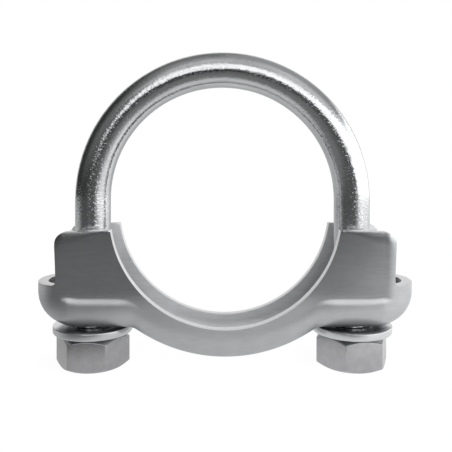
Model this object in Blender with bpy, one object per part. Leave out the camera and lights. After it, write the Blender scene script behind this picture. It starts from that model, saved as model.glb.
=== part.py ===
"""Exhaust clamp for a 45 mm pipe: U-bolt, deep-pressed saddle, two washers and two hex nuts.

The clamp stands upright on its two nuts. X runs across the clamp, the pipe lies along Y and
Z points up. The origin is on the surface that the nuts stand on, midway between the ends of
the saddle. All lengths are metres.
"""
import math

import bmesh
import bpy
from mathutils import Matrix, Vector

# Pipe that the clamp closes on, and the free play of the U-bolt round it on each side
PIPE_DIAMETER = 0.0449
PIPE_PLAY = 0.00035

# U-bolt: round rod with rolled threads at both ends
ROD_DIAMETER = 0.0072
LEG_LENGTH = 0.0329
LEG_END_HEIGHT = 0.0005
LEG_END_CHAMFER = 0.0007
THREAD_DIAMETER = 0.0079
THREAD_LENGTH = 0.0200
THREAD_RUNOUT = 0.0010

# Hex nuts
NUT_ACROSS_FLATS = 0.0130
NUT_HEIGHT = 0.0064
NUT_FACE_DIAMETER = 0.0120
NUT_CHAMFER_SLOPE = math.radians(28)
NUT_COUNTERSINK = 0.0004
LEFT_NUT_TURN = math.radians(0)
RIGHT_NUT_TURN = math.radians(9)

# Plain washers
WASHER_DIAMETER = 0.0160
WASHER_THICKNESS = 0.0015
WASHER_EDGE_RADIUS = 0.0003

# Clearances
FACE_GAP = 0.0003
THREAD_CLEARANCE = 0.0003
WASHER_CLEARANCE = 0.00035
SADDLE_HOLE_CLEARANCE = 0.0009

# The U-bolt stands a little to the left in the wider holes of the saddle
BOLT_SIDE_SHIFT = -0.0005

# Saddle: the sheet, and the pan that is pressed from it
SHEET_THICKNESS = 0.0020
LEG_TO_END = 0.0113
WALL_SPREAD = 0.0136
WALL_LEAN = math.radians(1.5)
END_FLAT_WIDTH = 0.0012
INNER_BEND_REACH = 0.0016
INNER_BEND_RISE = 0.0027
END_BEND_REACH = 0.0070
END_BEND_RISE = 0.0070
END_EASE_LENGTH = 0.0040
CREASE_ANGLE = math.radians(20)
CREASE_RADIUS = 0.0026
INNER_CREST_RADIUS = 0.0008
CREASE_FULL_FROM = 0.0215
CREASE_GONE_AT = 0.0130
CREASE_FULL_BEFORE_END = 0.0075
CREASE_GONE_BEFORE_END = 0.0038

# Saddle: the belly between the washers, which starts with an ease that has dropped a little
# where a washer's flat begins, and the edge that is cut for the pipe
BELLY_RADIUS = 0.0310
BELLY_EASE_RADIUS = 0.0037
EASE_DROP_AT_WASHER = 0.00022
MIDDLE_WALL_HEIGHT = 0.0061

# Saddle: the four tabs and the two end lips
TAB_RISE = 0.0195
LEG_TO_TAB_SIDE = 0.0068
TAB_TOP_SLOPE = math.radians(2)
TAB_SIDE_LEAN = math.radians(2)
TAB_CORNER_RADIUS = 0.0024
LIP_RISE = 0.0087
LIP_FILLET_RADIUS = 0.0010

# How finely the round shapes are divided
ROD_SIDES = 24
ARCH_STEPS = 40
NUT_SIDES = 48
WASHER_SIDES = 40
SIDE_STEPS = 44
CORNER_STEPS = 7
END_STEPS = 2
BEND_STEPS = 8
CREST_STEPS = 3
CREASE_STEPS = 3
SEAT_STEPS = 49
LIP_FILLET_STEPS = 4
TAB_CORNER_STEPS = 6

# Shading: edges that bend by more than this stay sharp
ROUND_SMOOTH_ANGLE = math.radians(30)
SHEET_SMOOTH_ANGLE = math.radians(40)
NUT_SMOOTH_ANGLE = math.radians(20)

# Corners that lie this close together are one corner
WELD_DISTANCE = 0.000004

# How far a cutting shape reaches past what it cuts
CUT_MARGIN = 0.0020

# Finishes: colour and roughness of the zinc plate on each piece
ROD_ZINC = ((0.62, 0.63, 0.64), 0.28)
SHEET_ZINC = ((0.50, 0.51, 0.52), 0.36)
WASHER_ZINC = ((0.58, 0.59, 0.60), 0.30)
NUT_ZINC = ((0.46, 0.46, 0.47), 0.38)

# Places worked out from the sizes above
LEG_HALF_SPACING = PIPE_DIAMETER / 2 + PIPE_PLAY + ROD_DIAMETER / 2
LEFT_LEG_X = BOLT_SIDE_SHIFT - LEG_HALF_SPACING
RIGHT_LEG_X = BOLT_SIDE_SHIFT + LEG_HALF_SPACING
ARCH_Z = LEG_END_HEIGHT + LEG_LENGTH
WASHER_Z = NUT_HEIGHT + FACE_GAP
SADDLE_Z = WASHER_Z + WASHER_THICKNESS + FACE_GAP
SADDLE_LENGTH = 2 * (LEG_HALF_SPACING + LEG_TO_END)
TAB_HALF_WIDTH = LEG_HALF_SPACING + LEG_TO_TAB_SIDE
WASHER_FLAT_X = RIGHT_LEG_X - (WASHER_DIAMETER / 2 - WASHER_EDGE_RADIUS)
EASE_ANGLE_AT_WASHER = math.acos(1 - EASE_DROP_AT_WASHER / BELLY_EASE_RADIUS)
FLAT_FROM = WASHER_FLAT_X + BELLY_EASE_RADIUS * math.sin(EASE_ANGLE_AT_WASHER)
BELLY_JOINT_ANGLE = math.asin(FLAT_FROM / (BELLY_RADIUS + BELLY_EASE_RADIUS))
BELLY_DROP = (BELLY_RADIUS + BELLY_EASE_RADIUS) * (1 - math.cos(BELLY_JOINT_ANGLE))
BELLY_Z = SADDLE_Z - BELLY_DROP
BEND_REACH = SHEET_THICKNESS + INNER_BEND_REACH
BEND_RISE = SHEET_THICKNESS + INNER_BEND_RISE
CREST_RADIUS = SHEET_THICKNESS + INNER_CREST_RADIUS
TOP_LEVEL = BEND_STEPS + CREST_STEPS + CREASE_STEPS
SEAT_RADIUS = PIPE_DIAMETER / 2
SEAT_Z = BELLY_Z + MIDDLE_WALL_HEIGHT + SEAT_RADIUS
TAB_Z = SADDLE_Z + TAB_RISE
LIP_Z = SADDLE_Z + LIP_RISE
NUT_BORE = THREAD_DIAMETER + 2 * THREAD_CLEARANCE
WASHER_HOLE = THREAD_DIAMETER + 2 * WASHER_CLEARANCE
SADDLE_HOLE = THREAD_DIAMETER + 2 * SADDLE_HOLE_CLEARANCE


def clear_scene():
    """Remove every object that the file opens with."""
    for obj in list(bpy.data.objects):
        bpy.data.objects.remove(obj, do_unlink=True)


def zinc_plate(name, finish):
    """Return a bright zinc finish: a metallic Principled material."""
    colour, roughness = finish
    material = bpy.data.materials.new(name)
    material.use_nodes = True
    shader = material.node_tree.nodes["Principled BSDF"]
    shader.inputs["Base Color"].default_value = (*colour, 1.0)
    shader.inputs["Metallic"].default_value = 1.0
    shader.inputs["Roughness"].default_value = roughness
    return material


def finish_object(name, mesh_data, material, place, smooth_angle):
    """Make an object of a bmesh, with its origin at place, its finish and its shading."""
    bmesh.ops.recalc_face_normals(mesh_data, faces=mesh_data.faces)
    mesh = bpy.data.meshes.new(name)
    mesh_data.to_mesh(mesh)
    mesh_data.free()
    mesh.materials.append(material)
    mesh.shade_smooth()
    mesh.set_sharp_from_angle(angle=smooth_angle)
    obj = bpy.data.objects.new(name, mesh)
    obj.location = place
    bpy.context.scene.collection.objects.link(obj)
    return obj


def hide_cutter(cutter):
    """Mark a cutting shape as a guide, which isn't part of the clamp."""
    cutter.hide_render = True
    cutter.display_type = "WIRE"


def cut(obj, cutter, operation):
    """Add a Boolean of obj with cutter."""
    boolean = obj.modifiers.new(cutter.name, "BOOLEAN")
    boolean.solver = "EXACT"
    boolean.operation = operation
    boolean.object = cutter


def smooth_step(value):
    """Return a soft step from 0 to 1 for a value that runs from 0 to 1."""
    value = min(max(value, 0.0), 1.0)
    return value * value * (3.0 - 2.0 * value)


def turned_body(profile, sides):
    """Spin a closed outline of (radius, height) points round Z into a solid ring."""
    ring = bmesh.new()
    outline = [ring.verts.new((radius, 0.0, height)) for radius, height in profile]
    edges = [ring.edges.new((outline[i], outline[(i + 1) % len(outline)]))
             for i in range(len(outline))]
    bmesh.ops.spin(ring, geom=outline + edges, cent=(0, 0, 0), axis=(0, 0, 1),
                   angle=2 * math.pi, steps=sides, use_merge=True)
    bmesh.ops.remove_doubles(ring, verts=ring.verts, dist=WELD_DISTANCE)
    return ring


def bent_rod():
    """Build the rod: half-round arch by a spin, two legs drawn down, and threaded ends."""
    rod = bmesh.new()
    start = Matrix.Translation((RIGHT_LEG_X, 0, ARCH_Z))
    circle = bmesh.ops.create_circle(rod, cap_ends=False, segments=ROD_SIDES,
                                     radius=ROD_DIAMETER / 2, matrix=start)["verts"]
    first = [edge for edge in rod.edges]
    middle = (BOLT_SIDE_SHIFT, 0, ARCH_Z)
    arch = bmesh.ops.spin(rod, geom=circle + first, cent=middle, axis=(0, -1, 0),
                          angle=math.pi, steps=ARCH_STEPS)["geom_last"]
    last = [item for item in arch if isinstance(item, bmesh.types.BMEdge)]
    for edges, leg_x in ((first, RIGHT_LEG_X), (last, LEFT_LEG_X)):
        draw_leg(rod, edges, leg_x)
    return rod


def draw_leg(rod, edges, leg_x):
    """Draw one end of the arch down to its chamfered tip, with the rolled thread proud."""
    thread_top = LEG_END_HEIGHT + THREAD_LENGTH
    stations = (
        (thread_top + THREAD_RUNOUT, ROD_DIAMETER / 2),
        (thread_top, THREAD_DIAMETER / 2),
        (LEG_END_HEIGHT + LEG_END_CHAMFER, THREAD_DIAMETER / 2),
        (LEG_END_HEIGHT, THREAD_DIAMETER / 2 - LEG_END_CHAMFER),
    )
    axis = Vector((leg_x, 0, 0))
    for height, radius in stations:
        grown = bmesh.ops.extrude_edge_only(rod, edges=edges)["geom"]
        edges = [item for item in grown if isinstance(item, bmesh.types.BMEdge)]
        for vert in (item for item in grown if isinstance(item, bmesh.types.BMVert)):
            offset = Vector((vert.co.x - axis.x, vert.co.y, 0)).normalized() * radius
            vert.co = Vector((axis.x + offset.x, offset.y, height))
    bmesh.ops.holes_fill(rod, edges=edges, sides=ROD_SIDES)


def washer_body():
    """Build a plain washer with its edges broken."""
    inner = WASHER_HOLE / 2
    outer = WASHER_DIAMETER / 2
    edge = WASHER_EDGE_RADIUS
    profile = (
        (inner, edge), (inner + edge, 0), (outer - edge, 0), (outer, edge),
        (outer, WASHER_THICKNESS - edge), (outer - edge, WASHER_THICKNESS),
        (inner + edge, WASHER_THICKNESS), (inner, WASHER_THICKNESS - edge),
    )
    return turned_body(profile, WASHER_SIDES)


def nut_blank(turn):
    """Build the plain hexagon, with a corner on +X before it is turned."""
    blank = bmesh.new()
    corner_radius = NUT_ACROSS_FLATS / math.sqrt(3)
    bmesh.ops.create_cone(blank, cap_ends=True, segments=6, radius1=corner_radius,
                          radius2=corner_radius, depth=NUT_HEIGHT,
                          matrix=Matrix.Translation((0, 0, NUT_HEIGHT / 2)))
    bmesh.ops.rotate(blank, verts=blank.verts, cent=(0, 0, 0),
                     matrix=Matrix.Rotation(turn - math.pi / 6, 3, "Z"))
    return blank


def nut_turning():
    """Build the turned form that chamfers a nut's corners and bores it."""
    bore = NUT_BORE / 2
    face = NUT_FACE_DIAMETER / 2
    rim = NUT_ACROSS_FLATS / math.sqrt(3) + FACE_GAP
    drop = (rim - face) * math.tan(NUT_CHAMFER_SLOPE)
    profile = (
        (bore, NUT_COUNTERSINK), (bore + NUT_COUNTERSINK, 0), (face, 0), (rim, drop),
        (rim, NUT_HEIGHT - drop), (face, NUT_HEIGHT),
        (bore + NUT_COUNTERSINK, NUT_HEIGHT), (bore, NUT_HEIGHT - NUT_COUNTERSINK),
    )
    return turned_body(profile, NUT_SIDES)


def underside_height(x):
    """Return the height of the saddle's underside: a round belly that eases into flats."""
    run = abs(x)
    if run >= FLAT_FROM:
        return SADDLE_Z
    if run <= BELLY_RADIUS * math.sin(BELLY_JOINT_ANGLE):
        return BELLY_Z + BELLY_RADIUS - math.sqrt(BELLY_RADIUS ** 2 - run ** 2)
    back = FLAT_FROM - run
    return SADDLE_Z - BELLY_EASE_RADIUS + math.sqrt(BELLY_EASE_RADIUS ** 2 - back ** 2)


def crease_angle(x):
    """Return how far the skin leans in over the crest of the bend at x."""
    middle = (abs(x) - CREASE_GONE_AT) / (CREASE_FULL_FROM - CREASE_GONE_AT)
    room = SADDLE_LENGTH / 2 - abs(x) - CREASE_GONE_BEFORE_END
    end = room / (CREASE_FULL_BEFORE_END - CREASE_GONE_BEFORE_END)
    return CREASE_ANGLE * smooth_step(middle) * smooth_step(end)


def side_section(level, x):
    """Return (distance outside the wall plane, rise) of one level of the long wall at x.

    The bend is an elliptic quarter. Over it the skin leans in round a crest, and a hollow
    crease takes it back upright. Where the crease fades, the levels stay as high.
    """
    lean = crease_angle(x)
    swell = (CREST_RADIUS + CREASE_RADIUS) * (1 - math.cos(lean))
    if level <= BEND_STEPS:
        angle = -math.pi / 2 * (1 - level / BEND_STEPS)
        return (swell - BEND_REACH * (1 - math.cos(angle)),
                BEND_RISE * (1 + math.sin(angle)))
    turn = lean * min((level - BEND_STEPS) / CREST_STEPS, 1)
    left = lean * min((TOP_LEVEL - level) / CREASE_STEPS, 1)
    out = swell - CREST_RADIUS * (1 - math.cos(turn))
    out -= CREASE_RADIUS * (math.cos(left) - math.cos(lean))
    rise = BEND_RISE + CREST_RADIUS * math.sin(turn)
    rise += CREASE_RADIUS * (math.sin(lean) - math.sin(left))
    missing = (CREST_RADIUS + CREASE_RADIUS) * (math.sin(CREASE_ANGLE) - math.sin(lean))
    return out, rise + missing * (level - BEND_STEPS) / (CREST_STEPS + CREASE_STEPS)


def end_section(level):
    """Return (inset from the end, rise) of one level of the end wall's bend."""
    angle = -math.pi / 2 * (1 - min(level, BEND_STEPS) / BEND_STEPS)
    return END_BEND_REACH * (1 - math.cos(angle)), END_BEND_RISE * (1 + math.sin(angle))


def end_share(distance, corner):
    """Return how much of the end wall's section a point takes.

    The distance is measured round the plan, from where the end wall's corner starts.
    """
    return 1.0 - smooth_step(distance / (corner * math.pi / 2 + END_EASE_LENGTH))


def plan_quarter(half_length, half_depth, corner):
    """Return (x, y, end share) round a quarter of the plan; y is None on the long wall."""
    points = []
    for i in range(END_STEPS):
        points.append((half_length, (half_depth - corner) * i / END_STEPS, 1.0))
    for i in range(CORNER_STEPS + 1):
        angle = math.pi / 2 * i / CORNER_STEPS
        points.append((half_length - corner + corner * math.cos(angle),
                       half_depth - corner + corner * math.sin(angle),
                       end_share(corner * angle, corner)))
    straight = half_length - corner
    for i in range(1, SIDE_STEPS // 2):
        x = straight * (1 - 2 * i / SIDE_STEPS)
        points.append((x, None, end_share(corner * math.pi / 2 + straight - x, corner)))
    return points


def pan_half_ring(level):
    """Return the points of one level of the pan, from its +X end round the back to -X."""
    section = min(level, TOP_LEVEL)
    above_walls = TAB_Z + SHEET_THICKNESS
    end_inset, end_rise = end_section(section)
    half_length = SADDLE_LENGTH / 2 - end_inset
    out, rise = side_section(section, half_length)
    half_depth = WALL_SPREAD / 2 + out
    quarter = plan_quarter(half_length, half_depth, half_depth - END_FLAT_WIDTH / 2)

    ring = []
    for x, y, end in quarter + [(0.0, None, 0.0)] + [(-x, y, e) for x, y, e in reversed(quarter)]:
        out, rise = side_section(section, x)
        if y is None:
            y = WALL_SPREAD / 2 + out
        over_bend = max(rise - BEND_RISE, 0)
        height = underside_height(x) + over_bend
        height += (rise - over_bend) * (1 - end) + end_rise * end
        if level > section:
            y += (above_walls - height) * math.tan(WALL_LEAN) * (1 - end)
            height = above_walls
        ring.append(Vector((x, y, height)))
    return ring


def pan_skin():
    """Build the outer skin of the pressed pan, from its floor up past the tabs."""
    skin = bmesh.new()
    levels = []
    for level in range(TOP_LEVEL + 2):
        back = [skin.verts.new(point) for point in pan_half_ring(level)]
        front = [skin.verts.new((v.co.x, -v.co.y, v.co.z)) for v in back[1:-1]]
        levels.append((back, [back[0]] + front + [back[-1]]))
    for below, above in zip(levels, levels[1:]):
        for low, high in zip(below, above):
            for i in range(len(low) - 1):
                skin.faces.new((low[i], low[i + 1], high[i + 1], high[i]))
    fill_floor(skin, *levels[0])
    return skin


def fill_floor(skin, back, front):
    """Close the flat of the floor with strips across it, and one face at each end."""
    first = END_STEPS + 1
    last = len(back) - 1 - first
    for i in range(first, last):
        skin.faces.new((back[i], back[i + 1], front[i + 1], front[i]))
    skin.faces.new(list(reversed(back[:first + 1])) + front[1:first + 1])
    skin.faces.new(back[last:] + list(reversed(front[last:-1])))


def rounded_corner(before, corner, after, radius, steps):
    """Return the points of a round of the given radius at a corner of an outline."""
    back = (before - corner).normalized()
    ahead = (after - corner).normalized()
    half = back.angle(ahead) / 2
    centre = corner + (back + ahead).normalized() * radius / math.sin(half)
    start = corner + back * radius / math.tan(half) - centre
    end = corner + ahead * radius / math.tan(half) - centre
    turn = start.angle_signed(end)
    points = []
    for i in range(steps + 1):
        points.append(centre + Matrix.Rotation(-turn * i / steps, 2) @ start)
    return points


def side_outline():
    """Return the saddle's outline seen along the pipe, as (x, z) points.

    The seat is one arc of the pipe's radius. Each side has a tab with a rounded outer corner
    and a lower lip. Outside the lips the outline is open, and the pan's own form shows.
    """
    tip_angle = math.asin((SEAT_Z - TAB_Z) / SEAT_RADIUS)
    sweep = math.pi - 2 * tip_angle
    seat = []
    for i in range(SEAT_STEPS + 1):
        angle = tip_angle + sweep * i / SEAT_STEPS
        seat.append(Vector((SEAT_RADIUS * math.cos(angle), SEAT_Z - SEAT_RADIUS * math.sin(angle))))

    tip = seat[0]
    outer = Vector((TAB_HALF_WIDTH, TAB_Z - (TAB_HALF_WIDTH - tip.x) * math.tan(TAB_TOP_SLOPE)))
    foot = Vector((TAB_HALF_WIDTH - (outer.y - LIP_Z) * math.tan(TAB_SIDE_LEAN), LIP_Z))
    end = Vector((SADDLE_LENGTH / 2 + CUT_MARGIN, LIP_Z))
    below = Vector((end.x, BELLY_Z - CUT_MARGIN))
    right = [end]
    right += rounded_corner(end, foot, outer, LIP_FILLET_RADIUS, LIP_FILLET_STEPS)
    right += rounded_corner(foot, outer, tip, TAB_CORNER_RADIUS, TAB_CORNER_STEPS)
    right = [below] + right
    left = [Vector((-p.x, p.y)) for p in reversed(right)]
    return right + seat + left


def outline_prism(outline):
    """Extrude the saddle's outline along the pipe, past both walls."""
    half = WALL_SPREAD / 2 + SHEET_THICKNESS + CUT_MARGIN
    prism = bmesh.new()
    verts = [prism.verts.new((x, -half, z)) for x, z in outline]
    face = prism.faces.new(verts)
    grown = bmesh.ops.extrude_face_region(prism, geom=[face])["geom"]
    moved = [item for item in grown if isinstance(item, bmesh.types.BMVert)]
    bmesh.ops.translate(prism, verts=moved, vec=(0, 2 * half, 0))
    return prism


def bolt_hole_drill(side):
    """Build the drill for one leg's hole in the floor of the saddle."""
    drill = bmesh.new()
    length = 2 * (SHEET_THICKNESS + CUT_MARGIN)
    middle = Matrix.Translation((side * LEG_HALF_SPACING, 0, SADDLE_Z))
    bmesh.ops.create_cone(drill, cap_ends=True, segments=NUT_SIDES, radius1=SADDLE_HOLE / 2,
                          radius2=SADDLE_HOLE / 2, depth=length, matrix=middle)
    return drill


def make_u_bolt():
    """Make the U-bolt."""
    finish = zinc_plate("bright_zinc_rod", ROD_ZINC)
    return finish_object("u_bolt", bent_rod(), finish, (0, 0, 0), ROUND_SMOOTH_ANGLE)


def make_saddle():
    """Make the saddle: a skin given the sheet's thickness, then trimmed and drilled."""
    finish = zinc_plate("pressed_zinc_sheet", SHEET_ZINC)
    saddle = finish_object("saddle", pan_skin(), finish, (0, 0, 0), SHEET_SMOOTH_ANGLE)
    sheet = saddle.modifiers.new("sheet", "SOLIDIFY")
    sheet.thickness = SHEET_THICKNESS
    sheet.offset = -1.0
    sheet.use_even_offset = True
    sheet.use_rim = True

    blank = finish_object("saddle_outline", outline_prism(side_outline()), finish,
                          (0, 0, 0), SHEET_SMOOTH_ANGLE)
    hide_cutter(blank)
    cut(saddle, blank, "INTERSECT")
    for name, side in (("left_hole", -1), ("right_hole", 1)):
        drill = finish_object(name, bolt_hole_drill(side), finish, (0, 0, 0), SHEET_SMOOTH_ANGLE)
        hide_cutter(drill)
        cut(saddle, drill, "DIFFERENCE")
    weld = saddle.modifiers.new("weld", "WELD")
    weld.merge_threshold = WELD_DISTANCE
    return saddle


def make_washer(name, leg_x):
    """Make one washer, centred on its leg."""
    finish = zinc_plate(name + "_zinc", WASHER_ZINC)
    place = (leg_x, 0, WASHER_Z)
    return finish_object(name, washer_body(), finish, place, ROUND_SMOOTH_ANGLE)


def make_nut(name, leg_x, turn):
    """Make one nut, with its origin on the axis of its leg."""
    finish = zinc_plate(name + "_zinc", NUT_ZINC)
    place = (leg_x, 0, 0)
    nut = finish_object(name, nut_blank(turn), finish, place, NUT_SMOOTH_ANGLE)
    turning = finish_object(name + "_turning", nut_turning(), finish, place, NUT_SMOOTH_ANGLE)
    hide_cutter(turning)
    cut(nut, turning, "INTERSECT")
    return nut


def main():
    """Build the clamp."""
    clear_scene()
    make_u_bolt()
    make_saddle()
    make_washer("left_washer", LEFT_LEG_X)
    make_washer("right_washer", RIGHT_LEG_X)
    make_nut("left_nut", LEFT_LEG_X, LEFT_NUT_TURN)
    make_nut("right_nut", RIGHT_LEG_X, RIGHT_NUT_TURN)


main()
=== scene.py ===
"""Looks of the exhaust clamp: zinc-plated U-bolt, pressed saddle, washers and hex nuts.

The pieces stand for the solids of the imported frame, in metres, with +Z up and the pipe
along Y. Sizes are the clamp's own, and heights and legs are taken from the frame's boxes.
"""

import logging
import math
from collections.abc import Callable, Sequence
from dataclasses import dataclass
from enum import Enum

import bmesh
import bpy
from mathutils import Matrix, Vector


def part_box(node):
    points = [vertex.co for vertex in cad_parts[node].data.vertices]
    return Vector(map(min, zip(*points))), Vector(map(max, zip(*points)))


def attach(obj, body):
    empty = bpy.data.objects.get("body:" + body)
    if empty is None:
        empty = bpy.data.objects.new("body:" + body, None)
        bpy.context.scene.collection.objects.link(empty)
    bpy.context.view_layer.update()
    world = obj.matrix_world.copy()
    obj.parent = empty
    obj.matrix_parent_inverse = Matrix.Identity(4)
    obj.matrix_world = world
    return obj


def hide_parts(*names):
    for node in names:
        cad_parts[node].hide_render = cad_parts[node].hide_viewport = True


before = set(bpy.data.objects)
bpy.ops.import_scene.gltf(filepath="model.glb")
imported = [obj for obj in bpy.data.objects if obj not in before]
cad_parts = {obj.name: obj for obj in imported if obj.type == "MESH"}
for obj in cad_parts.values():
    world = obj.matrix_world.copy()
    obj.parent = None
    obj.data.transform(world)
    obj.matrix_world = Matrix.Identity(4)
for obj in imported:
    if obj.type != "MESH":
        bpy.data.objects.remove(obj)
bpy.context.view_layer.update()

LOG = logging.getLogger("exhaust_clamp")
MM = 0.001
IMAGE_SIZE = 452
WELD = 0.004 * MM
FULL_TURN = 2 * math.pi
SHARP_ANGLE = math.radians(40)


def soft_step(value: float) -> float:
    """Return a soft step from 0 to 1 for a value that runs from 0 to 1.

    Args:
        value: where the step is read; below 0 it gives 0 and above 1 it gives 1.

    Returns:
        The height of the step.
    """
    value = min(max(value, 0.0), 1.0)
    return value * value * (3.0 - 2.0 * value)


def grey(level: float) -> tuple[float, float, float, float]:
    """Return an opaque grey for a colour socket."""
    return (level, level, level, 1.0)


def rounded_line(corners: Sequence[Vector], radii: Sequence[float], steps: int) -> list[Vector]:
    """Round the inner corners of an open line of 2-D points.

    Args:
        corners: the line's points, ends included.
        radii: one radius for each point between the ends.
        steps: how many stretches each round has.

    Returns:
        The points of the rounded line, as many for each call with the same counts.
    """
    points = [corners[0].copy()]
    for before, corner, after, radius in zip(corners, corners[1:], corners[2:], radii):
        back, ahead = (before - corner).normalized(), (after - corner).normalized()
        half = back.angle(ahead) / 2
        centre = corner + (back + ahead).normalized() * radius / math.sin(half)
        start = corner + back * radius / math.tan(half) - centre
        end = corner + ahead * radius / math.tan(half) - centre
        turn = -start.angle_signed(end)
        points += [centre + Matrix.Rotation(turn * i / steps, 2) @ start
                   for i in range(steps + 1)]
    points.append(corners[-1].copy())
    return points


def shaped_net(rows: int, columns: int, place: Callable[[int, int], Vector]) -> bmesh.types.BMesh:
    """Lay a grid of faces over a surface, and merge the corners that meet.

    Args:
        rows: how many faces the net has one way.
        columns: how many faces it has the other way.
        place: gives the point of a corner from its row and column.

    Returns:
        A bmesh with the shaped net.
    """
    net = bmesh.new()
    bmesh.ops.create_grid(net, x_segments=rows, y_segments=columns, size=0.5)
    for vert in net.verts:
        vert.co = place(round((vert.co.x + 0.5) * rows), round((vert.co.y + 0.5) * columns))
    bmesh.ops.remove_doubles(net, verts=net.verts, dist=WELD)
    return net


def finished_piece(name: str, mesh_data: bmesh.types.BMesh, finish: bpy.types.Material,
                   sharp_angle: float = SHARP_ANGLE) -> bpy.types.Object:
    """Make a piece of a bmesh, with its place in its mesh and its object at the origin.

    Args:
        name: the piece's name.
        mesh_data: the shape, which is freed.
        finish: its material.
        sharp_angle: edges that bend by more than this stay sharp.

    Returns:
        The new object.
    """
    mesh = bpy.data.meshes.new(name)
    mesh_data.to_mesh(mesh)
    mesh_data.free()
    mesh.materials.append(finish)
    mesh.shade_smooth()
    mesh.set_sharp_from_angle(angle=sharp_angle)
    piece = bpy.data.objects.new(name, mesh)
    bpy.context.scene.collection.objects.link(piece)
    return piece


def apply_modifiers(piece: bpy.types.Object) -> None:
    """Replace a piece's mesh by what its modifiers make of it.

    Args:
        piece: the piece, which keeps its materials and has no modifiers left.
    """
    shape = piece.evaluated_get(bpy.context.evaluated_depsgraph_get())
    mesh = bpy.data.meshes.new_from_object(shape)
    piece.modifiers.clear()
    piece.data = mesh


def seat_piece(piece: bpy.types.Object, node: str, body: str) -> None:
    """Let a piece stand for a node of the frame.

    Args:
        piece: the finished piece.
        node: the solid that it replaces.
        body: the moving body that it rides on.
    """
    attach(piece, body)
    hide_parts(node)
    LOG.info("%s: %d faces on body %s", piece.name, len(piece.data.polygons), body)


@dataclass(frozen=True)
class ScrewThread:
    """Rolled right-hand thread, which rods and nuts share so that they stay in phase."""

    pitch: float = 1.25 * MM
    crest_radius: float = 3.95 * MM
    root_radius: float = 3.26 * MM
    crest_share: float = 0.14
    root_share: float = 0.22
    rings_per_turn: int = 16

    def radius(self, height: float, angle: float) -> float:
        """Return the rod's radius on the thread.

        Args:
            height: height of the point.
            angle: its angle round the leg.

        Returns:
            The radius, between root and crest.
        """
        turn = height / self.pitch - angle / FULL_TURN
        ramp = abs(2 * (turn - math.floor(turn)) - 1)
        rise = (ramp - self.root_share) / (1 - self.root_share - self.crest_share)
        return self.root_radius + (self.crest_radius - self.root_radius) * min(max(rise, 0), 1)


class NodeSheet:
    """Short way to add shader nodes to one node tree, laid out in rows."""

    NODES_IN_ROW = 8
    NODE_WIDTH = 220
    NODE_HEIGHT = 260

    def __init__(self, tree: bpy.types.NodeTree) -> None:
        """Keep the tree that nodes are added to."""
        self.tree = tree
        self.count = 0

    def add(self, kind: str, inputs: dict[str | int, object] | None = None,
            **settings: object) -> bpy.types.Node:
        """Add a node.

        Args:
            kind: the node's type name without its ShaderNode prefix.
            inputs: values or output sockets for its inputs, by name or number.
            settings: its properties.

        Returns:
            The node.
        """
        node = self.add_plain("ShaderNode" + kind)
        for name, value in settings.items():
            setattr(node, name, value)
        for name, value in (inputs or {}).items():
            if isinstance(value, bpy.types.NodeSocket):
                self.tree.links.new(value, node.inputs[name])
            else:
                node.inputs[name].default_value = value
        return node

    def add_plain(self, kind: str) -> bpy.types.Node:
        """Add a node in the next free place, with its values untouched.

        Args:
            kind: the node's full type name.

        Returns:
            The node.
        """
        node = self.tree.nodes.new(kind)
        row, column = divmod(self.count, self.NODES_IN_ROW)
        node.location = (self.NODE_WIDTH * column, -self.NODE_HEIGHT * row)
        self.count += 1
        return node

    def math(self, operation: str, first: object, second: object = 0.0,
             third: object = 0.0) -> bpy.types.NodeSocket:
        """Add a Math node and return its value."""
        node = self.add("Math", {0: first, 1: second, 2: third}, operation=operation)
        return node.outputs[0]

    def step(self, value: object, low: float, high: float, start: float = 0.0,
             end: float = 1.0) -> bpy.types.NodeSocket:
        """Map a value softly from low..high to start..end, and hold it outside."""
        node = self.add("MapRange", {"Value": value, "From Min": low, "From Max": high,
                                     "To Min": start, "To Max": end},
                        interpolation_type="SMOOTHSTEP")
        return node.outputs["Result"]

    def mix(self, share: object, first: object, second: object) -> bpy.types.NodeSocket:
        """Add a Mix node and return first, blended into second by the share."""
        return self.add("Mix", {0: share, 2: first, 3: second}).outputs[0]

    def noise(self, vector: object, scale: object, detail: float = 2.0,
              roughness: float = 0.5) -> bpy.types.NodeSocket:
        """Add a Noise Texture and return its value."""
        node = self.add("TexNoise", {"Vector": vector, "Scale": scale, "Detail": detail,
                                     "Roughness": roughness})
        return node.outputs[0]


@dataclass(frozen=True)
class View:
    """Camera of the photograph: it looks along +Y, level, with its picture plane shifted.

    The focal length and the point straight ahead are in pixels of the photograph, and the
    sensor's width is in millimetres.
    """

    focal_pixels: float = 612.0
    sensor: float = 36.0
    place: tuple[float, float, float] = (-2.2 * MM, -125.0 * MM, 44.1 * MM)
    middle_column: float = 214.0
    middle_row: float = 147.0
    nearest: float = 1 * MM
    farthest: float = 10.0

    def build(self) -> None:
        """Create the camera and make it the scene's own."""
        data = bpy.data.cameras.new("photo_camera")
        data.sensor_width = self.sensor
        data.lens = self.focal_pixels / IMAGE_SIZE * self.sensor
        data.shift_x = 0.5 - self.middle_column / IMAGE_SIZE
        data.shift_y = self.middle_row / IMAGE_SIZE - 0.5
        data.clip_start = self.nearest
        data.clip_end = self.farthest
        camera = bpy.data.objects.new("photo_camera", data)
        camera.location = self.place
        camera.rotation_euler = (math.pi / 2, 0.0, 0.0)
        bpy.context.scene.collection.objects.link(camera)
        bpy.context.scene.camera = camera


@dataclass(frozen=True)
class Panel:
    """One bright part of the studio, by its directions seen from the clamp, in degrees.

    Azimuth 0 is the side of the photographer and 90 is +X. Softness is half the width of
    each border: low and high azimuth, then low and high elevation.
    """

    azimuth: tuple[float, float]
    elevation: tuple[float, float]
    softness: tuple[float, float, float, float]
    strength: float


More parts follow.
